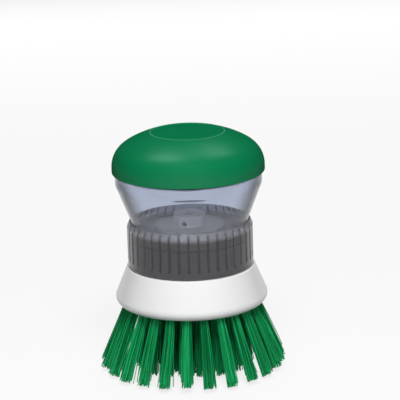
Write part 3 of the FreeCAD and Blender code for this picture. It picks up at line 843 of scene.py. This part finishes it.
def groove_tree():
    """Upright finger grooves pressed into the outside of a turned ring, from three bites deep outwards."""
    bench, given, close = node_group(
        "finger_grooves",
        [
            ("Piece", "Geometry"), ("Grooves", "Int"), ("Outside", "Float"), ("Bite", "Float"),
            ("Half Width", "Float"), ("Bottom", "Float"), ("Run Out", "Float"), ("Material", "Material"),
        ],
    )
    place = bench.add("GeometryNodeInputPosition")
    parts = bench.add("ShaderNodeSeparateXYZ", None, {0: place})
    x, y, z = parts.tap("X"), parts.tap("Y"), parts.tap("Z")
    radius = (x * x + y * y).math("SQRT")
    turns = y.math("ARCTAN2", x) * given["Grooves"] / TURN
    offset = turns - turns.math("ROUND")
    off_middle = offset.math("ABSOLUTE") * TURN * given["Outside"] / given["Grooves"]
    ratio = off_middle / given["Half Width"]
    hollow = (1.0 - ratio * ratio).math("MAXIMUM", 0.0)
    fade = ((z - given["Bottom"]) / given["Run Out"]).clamped()
    wall = radius - (given["Outside"] - given["Bite"] * 3.0)
    outer = (wall / (given["Bite"] * 2.0)).clamped()
    pressed_share = hollow * fade * outer
    scale = 1.0 - given["Bite"] * pressed_share / radius
    pressed = bench.add("ShaderNodeCombineXYZ", None, {"X": x * scale, "Y": y * scale, "Z": z})
    # groove depth, stored for the collar finish's painted shade in the grooves
    marked = named_attribute(bench, given["Piece"], "groove", pressed_share)
    moved = bench.add("GeometryNodeSetPosition", None, {"Geometry": marked, "Position": pressed})
    return close(moved)


def wound_tree():
    """A round wire wound about the axis, straight or conical."""
    bench, given, close = node_group(
        "wound_wire",
        [
            ("Turns", "Float"), ("Foot Radius", "Float"), ("Head Radius", "Float"), ("Bottom", "Float"),
            ("Length", "Float"), ("Wire Radius", "Float"), ("Points", "Int"), ("Sides", "Int"),
            ("Material", "Material"),
        ],
    )
    spiral = bench.add(
        "GeometryNodeCurveSpiral",
        None,
        {
            "Resolution": given["Points"],
            "Rotations": given["Turns"],
            "Start Radius": given["Foot Radius"],
            "End Radius": given["Head Radius"],
            "Height": given["Length"],
        },
    )
    lift = bench.add("ShaderNodeCombineXYZ", None, {"Z": given["Bottom"]})
    spiral = bench.add("GeometryNodeSetPosition", None, {"Geometry": spiral, "Offset": lift})
    wire = bench.add(
        "GeometryNodeCurvePrimitiveCircle",
        None,
        {"Resolution": given["Sides"], "Radius": given["Wire Radius"]},
    )
    tube = bench.add(
        "GeometryNodeCurveToMesh", None, {"Curve": spiral, "Profile Curve": wire, "Fill Caps": True}
    )
    tube = bench.add("GeometryNodeSetShadeSmooth", None, {"Geometry": tube, "Shade Smooth": True})
    return close(tube)


TUFT_TREE = tuft_tree()
DRILLED_TREE = drilled_tree()
GROOVE_TREE = groove_tree()
WOUND_TREE = wound_tree()


# Press cap

def make_press_cap():
    """Domed cap with its sunk press disc, skirt, wall and the socket for the piston's boss."""
    crown = (0.0, CROWN_CENTRE)
    shoulder = (CAP_RADIUS - SHOULDER_BEND, SHOULDER_HEIGHT)
    join_angle = math.degrees(math.atan2(shoulder[1] - crown[1], shoulder[0] - crown[0]))
    dome = tightening_dome(
        (PRESS_LIP_RADIUS, PRESS_LIP),
        (CAP_RADIUS, SHOULDER_HEIGHT),
        (CROWN_BEND, SHOULDER_BEND),
        join_angle,
        DOME_STEPS,
    )
    press_area = softened(
        [
            (0.0, PRESS_DISC),
            (PRESS_DISC_RADIUS, PRESS_DISC, PRESS_DISC_ROUND),
            (PRESS_BEAD_RADIUS, PRESS_BEAD, FINE_ROUND),
            dome[0],
        ],
        closed=False,
    )
    bore = CAP_RADIUS - CAP_WALL
    edge = softened(
        [
            (CAP_RADIUS, SHOULDER_HEIGHT),
            (CAP_RADIUS, CAP_EDGE, CAP_EDGE_ROUND),
            (bore, CAP_EDGE, CAP_BORE_ROUND),
            (bore, SHOULDER_HEIGHT),
        ],
        closed=False,
    )
    crown_bore = CROWN_BEND - CAP_WALL
    roof_angle = math.degrees(math.acos(CAP_ROOF_RADIUS / crown_bore))
    roof = PRESS_DISC - CAP_WALL
    boss = softened(
        [
            (CAP_ROOF_RADIUS, roof),
            (BOSS_RADIUS, roof),
            (BOSS_RADIUS, BOSS_FOOT, FINE_ROUND),
            (BOSS_BORE, BOSS_FOOT, FINE_ROUND),
            (BOSS_BORE, roof),
            (0.0, roof),
        ],
        closed=False,
    )
    profile = press_area[:-1] + dome + edge[1:-1]
    profile += arc(shoulder, SHOULDER_BEND - CAP_WALL, 0.0, join_angle, SHOULDER_STEPS)
    profile += arc(crown, crown_bore, join_angle, roof_angle, CROWN_STEPS)[1:]
    profile += boss[1:]
    mesh = turned("press_cap_dome", profile, BODY_COLUMNS, closed=False)
    smooth(mesh)
    mesh.materials.append(CAP_GREEN)
    piece("press_cap_dome", mesh, "press_cap", ["press_cap"])


# Clear bowl

def make_bowl():
    """Clear soap bowl with its neck, tapered wall, roof and pump cylinder."""
    corners = [
        (NECK_BORE, NECK_FOOT, FINE_ROUND),
        (NECK_RADIUS, NECK_FOOT, FINE_ROUND),
        (NECK_RADIUS, FLARE_BOTTOM, NECK_BEND),
        (BOWL_RADIUS, FLARE_TOP, FLARE_BEND),
        (BOWL_RADIUS, BOWL_TOP, BOWL_TOP_ROUND),
        (CYLINDER_RADIUS, BOWL_TOP, CYLINDER_FOOT_ROUND),
        (CYLINDER_RADIUS, CYLINDER_TOP, SOFT_ROUND),
        (CYLINDER_BORE, CYLINDER_TOP, SOFT_ROUND),
        (CYLINDER_BORE, CYLINDER_FLOOR),
        (ROOF_HOLE_RADIUS, CYLINDER_FLOOR, FINE_ROUND),
        (ROOF_HOLE_RADIUS, BOWL_ROOF, FINE_ROUND),
        (BOWL_BORE, BOWL_ROOF, ROOF_BEND),
        (BOWL_BORE, FLARE_TOP, FLARE_BORE_BEND),
        (NECK_BORE, FLARE_BOTTOM, NECK_BORE_BEND),
    ]
    mesh = turned("soap_bowl", softened(corners, steps=BOWL_ROUND_STEPS), BODY_COLUMNS)
    smooth(mesh)
    mesh.materials.append(CLEAR)
    piece("soap_bowl", mesh, "reservoir", ["reservoir"])


# Grip collar

def make_collar():
    """Smoky grip collar with upright grooves, and the thread's ridge on its spigot."""
    wall = [(COLLAR_RADIUS, GROOVE_BOTTOM + step) for step in GROOVE_ROW_STEPS]
    corners = [
        (COLLAR_BORE, SPIGOT_BOTTOM, FINE_ROUND),
        (SPIGOT_RADIUS, SPIGOT_BOTTOM, SOFT_ROUND),
        (SPIGOT_RADIUS, COLLAR_BOTTOM),
        (COLLAR_RADIUS, COLLAR_BOTTOM, COLLAR_FOOT_ROUND),
        *wall,
        (COLLAR_RADIUS, COLLAR_SHOULDER, RIM_ROUND),
        (COLLAR_TOP_RADIUS, COLLAR_TOP, COLLAR_TOP_ROUND),
        (NECK_SOCKET_RADIUS, COLLAR_TOP),
        (NECK_SOCKET_RADIUS, NECK_FOOT),
        (COLLAR_BORE, NECK_FOOT),
    ]
    ribbed = grown(
        "grip_collar",
        GROOVE_TREE,
        {
            "Grooves": GROOVE_COUNT, "Outside": COLLAR_RADIUS * MM, "Bite": GROOVE_BITE * MM,
            "Half Width": GROOVE_HALF_WIDTH * MM, "Bottom": GROOVE_BOTTOM * MM,
            "Run Out": GROOVE_RUN_OUT * MM, "Material": SMOKY,
        },
        turned("grip_collar", softened(corners), COLLAR_COLUMNS),
    )
    smooth(ribbed, GROOVE_SHARP_ANGLE)
    piece("grip_collar", ribbed, "reservoir", ["coupling_collar"])
    thread = grown(
        "collar_thread",
        WOUND_TREE,
        {
            "Turns": THREAD_TURNS, "Foot Radius": THREAD_RADIUS * MM, "Head Radius": THREAD_RADIUS * MM,
            "Bottom": THREAD_BOTTOM * MM, "Length": THREAD_RISE * MM, "Wire Radius": THREAD_RIDGE * MM,
            "Points": 160, "Sides": 10, "Material": SMOKY,
        },
    )
    piece("collar_thread", thread, "reservoir", [])


# Brush block

def make_block():
    """White flared block with its rounded foot, socket and drilled tuft holes."""
    flare_angle = math.degrees(math.atan(BLOCK_FLARE))
    foot = arc((FOOT_RADIUS, UNDERSIDE + FOOT_ROUND), FOOT_ROUND, -90.0, flare_angle, FOOT_STEPS)
    top = softened(
        [
            foot[-1],
            (RIM_RADIUS, RIM_HEIGHT, RIM_ROUND),
            (SOCKET_RADIUS, RIM_HEIGHT, SMALL_ROUND),
            (SOCKET_RADIUS, SOCKET_FLOOR, SOFT_ROUND),
            (TAIL_BORE, SOCKET_FLOOR, FINE_ROUND),
            (TAIL_BORE, UNDERSIDE, SMALL_ROUND),
            foot[0],
        ],
        closed=False,
    )
    mesh = turned("brush_block_body", foot + top[1:-1], BLOCK_COLUMNS)
    for ring in RINGS.values():
        mesh = grown(
            "brush_block_body",
            DRILLED_TREE,
            {
                "Holes": ring["tufts"], "Ring Radius": ring["radius"] * MM, "Height": UNDERSIDE * MM,
                "Lean": ring["lean"], "Hole Radius": HOLE_RADIUS * MM, "Depth": HOLE_DEPTH * MM,
                "Material": WHITE,
            },
            mesh,
        )
    smooth(mesh)
    piece("brush_block_body", mesh, "brush_base", ["brush_block"])


# Bristles

def make_bristles(side, ring):
    """One ring of bristle tufts as loose filaments, whose longest tips end just above the floor."""
    lean = ring["lean"]
    reach = (UNDERSIDE - ring["tip"] * math.sin(lean)) / math.cos(lean) - TIP_CLEARANCE
    mesh = grown(
        f"bristles_{side}",
        TUFT_TREE,
        {
            "Tufts": ring["tufts"], "Filaments": FILAMENTS_PER_TUFT, "Ring Radius": ring["radius"] * MM,
            "Underside": UNDERSIDE * MM, "Lean": lean, "Reach": reach * MM, "Seat": FILAMENT_SEAT * MM,
            "Root Radius": ROOT_RADIUS * MM, "Tip Radius": ring["tip"] * MM,
            "Filament Radius": FILAMENT_RADIUS * MM, "Trim": TIP_TRIM * MM, "Bow": FILAMENT_BOW * MM,
            "Stray Share": STRAY_SHARE, "Seed": ring["seed"], "Material": BRISTLE,
        },
    )
    if side == "outer":
        replaced = [f"tuft_outer_{number + 1:02d}" for number in range(ring["tufts"])]
    else:
        replaced = [f"tuft_ring_{side}"]
    piece(f"bristles_{side}", mesh, "brush_base", replaced)


# Springs

def make_springs():
    """Conical return spring under the piston, and the outlet valve's spring."""
    mesh = grown(
        "cap_return_spring",
        WOUND_TREE,
        {
            "Turns": 4.0, "Foot Radius": 9.5 * MM, "Head Radius": 15.5 * MM, "Bottom": 96.1 * MM,
            "Length": 5.0 * MM, "Wire Radius": 0.5 * MM, "Points": 48, "Sides": 10, "Material": STEEL,
        },
    )
    coil = piece("cap_return_spring", mesh, "reservoir", ["return_spring"])
    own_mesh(coil)
    mesh = grown(
        "outlet_valve_spring",
        WOUND_TREE,
        {
            "Turns": 6.0, "Foot Radius": 2.75 * MM, "Head Radius": 2.75 * MM, "Bottom": 60.25 * MM,
            "Length": 9.5 * MM, "Wire Radius": 0.25 * MM, "Points": 32, "Sides": 8, "Material": STEEL,
        },
    )
    coil = piece("outlet_valve_spring", mesh, "brush_base", ["valve_spring"])
    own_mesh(coil)


make_press_cap()
make_bowl()
make_collar()
make_block()
for side, ring in RINGS.items():
    make_bristles(side, ring)
make_springs()

# Pieces of the frame that stay as they are, with their finishes
KEPT = {
    "valve_deck": GREY,
    "outlet_nut": GREY,
    "pump_deck": NATURAL,
    "cap_carrier": NATURAL,
    "valve_poppet": NATURAL,
    "plug_seal": RUBBER,
    "neck_gasket": RUBBER,
    "poppet_seal": RUBBER,
    "piston_seal": RUBBER,
    "air_inlet_flap": RUBBER,
    "stem_retainer": STEEL,
    "tuft_anchors": STEEL,
}
for name, finish in KEPT.items():
    nodes[name].data.materials.clear()
    nodes[name].data.materials.append(finish)


# Floor, light and camera

def make_floor():
    """Square sheet of paper under the brush."""
    signs = ((-1, -1), (1, -1), (1, 1), (-1, 1))
    sheet = bmesh.new()
    sheet.faces.new([sheet.verts.new((FLOOR_HALF * x, FLOOR_HALF * y, 0.0)) for x, y in signs])
    mesh = bpy.data.meshes.new("studio_floor")
    sheet.to_mesh(mesh)
    sheet.free()
    mesh.materials.append(PAPER)
    floor = bpy.data.objects.new("studio_floor", mesh)
    bpy.context.scene.collection.objects.link(floor)


def aim(position, target):
    """Matrix of a lamp or camera at a place, looking at a point."""
    turn = (target - position).to_track_quat("-Z", "Y").to_matrix().to_4x4()
    return Matrix.Translation(position) @ turn


def around(azimuth, elevation, distance):
    """Place at an azimuth and elevation, in degrees, from the point that is looked at."""
    angle, height = math.radians(azimuth), math.radians(elevation)
    way = Vector((math.cos(angle) * math.cos(height), math.sin(angle) * math.cos(height), math.sin(height)))
    return VIEW_TARGET + way * distance


def make_lamp(name, azimuth, elevation, distance, size, power, rays, colour=(1, 1, 1)):
    """Soft box at an azimuth from the camera's; it lights only the kinds of ray that are named."""
    lamp = bpy.data.lights.new(name, "AREA")
    lamp.shape = "RECTANGLE"
    lamp.size, lamp.size_y = size
    lamp.energy = power
    lamp.color = colour
    thing = bpy.data.objects.new(name, lamp)
    bpy.context.scene.collection.objects.link(thing)
    thing.visible_diffuse = "diffuse" in rays
    thing.visible_glossy = "glossy" in rays
    thing.visible_transmission = "transmission" in rays
    thing.matrix_world = aim(around(VIEW_AZIMUTH + azimuth, elevation, distance), VIEW_TARGET)


def make_lamps():
    """Two sheens on the cap, a main box, a glow for what the bowl shows, and low fills front and back."""
    make_lamp(
        "left_sheen", azimuth=-122.0, elevation=71.0, distance=0.9,
        size=(0.36, 0.36), power=3.6, rays=("glossy",), colour=SHEEN_COLOUR,
    )
    make_lamp(
        "right_sheen", azimuth=144.0, elevation=60.0, distance=0.9,
        size=(0.28, 0.28), power=2.3, rays=("glossy",), colour=SHEEN_COLOUR,
    )
    make_lamp(
        "front_box", azimuth=4.0, elevation=54.0, distance=1.3,
        size=(0.6, 0.5), power=14.0, rays=("diffuse", "transmission"),
    )
    make_lamp(
        "bowl_glow", azimuth=0.0, elevation=33.0, distance=0.9,
        size=(0.8, 0.5), power=5.0, rays=("transmission",),
    )
    make_lamp(
        "low_fill", azimuth=0.0, elevation=11.0, distance=1.0,
        size=(1.5, 0.3), power=3.2, rays=("diffuse",),
    )
    make_lamp(
        "back_fill", azimuth=180.0, elevation=14.0, distance=1.0,
        size=(1.5, 0.3), power=4.5, rays=("diffuse",),
    )


def make_world():
    """Pale surroundings: white where they are seen, softer as light."""
    world = bpy.data.worlds.new("studio")
    bpy.context.scene.world = world
    world.use_nodes = True
    world.node_tree.nodes.clear()
    bench = Bench(world.node_tree)
    path = bench.add("ShaderNodeLightPath", out="Is Camera Ray")
    seen = path.math("MAXIMUM", path.tap("Is Transmission Ray"))
    level = WORLD_LIGHT + seen * WORLD_SEEN + path.tap("Is Glossy Ray") * WORLD_MIRRORED
    glow = bench.add("ShaderNodeBackground", None, {"Color": WHITE_LIGHT, "Strength": level}, "Background")
    bench.add("ShaderNodeOutputWorld", None, {"Surface": glow})


def make_camera():
    """Camera of the photograph: its place and roll, turned so that the target falls on its pixel."""
    lens = bpy.data.cameras.new("photo_camera")
    lens.sensor_width = SENSOR
    lens.lens = FOCAL_PIXELS / PICTURE_SIDE * SENSOR
    camera = bpy.data.objects.new("photo_camera", lens)
    bpy.context.scene.collection.objects.link(camera)
    position = around(VIEW_AZIMUTH, VIEW_ELEVATION, VIEW_DISTANCE)
    pan = math.atan((PICTURE_SIDE / 2 - TARGET_PIXEL[0]) / FOCAL_PIXELS)
    tilt = math.atan((TARGET_PIXEL[1] - PICTURE_SIDE / 2) / FOCAL_PIXELS)
    turn = Matrix.Rotation(math.radians(VIEW_ROLL), 4, "Z")
    turn = turn @ Matrix.Rotation(tilt, 4, "X") @ Matrix.Rotation(-pan, 4, "Y")
    camera.matrix_world = aim(position, VIEW_TARGET) @ turn
    bpy.context.scene.camera = camera


make_floor()
make_world()
make_lamps()
make_camera()
bpy.context.scene.view_settings.view_transform = "Standard"
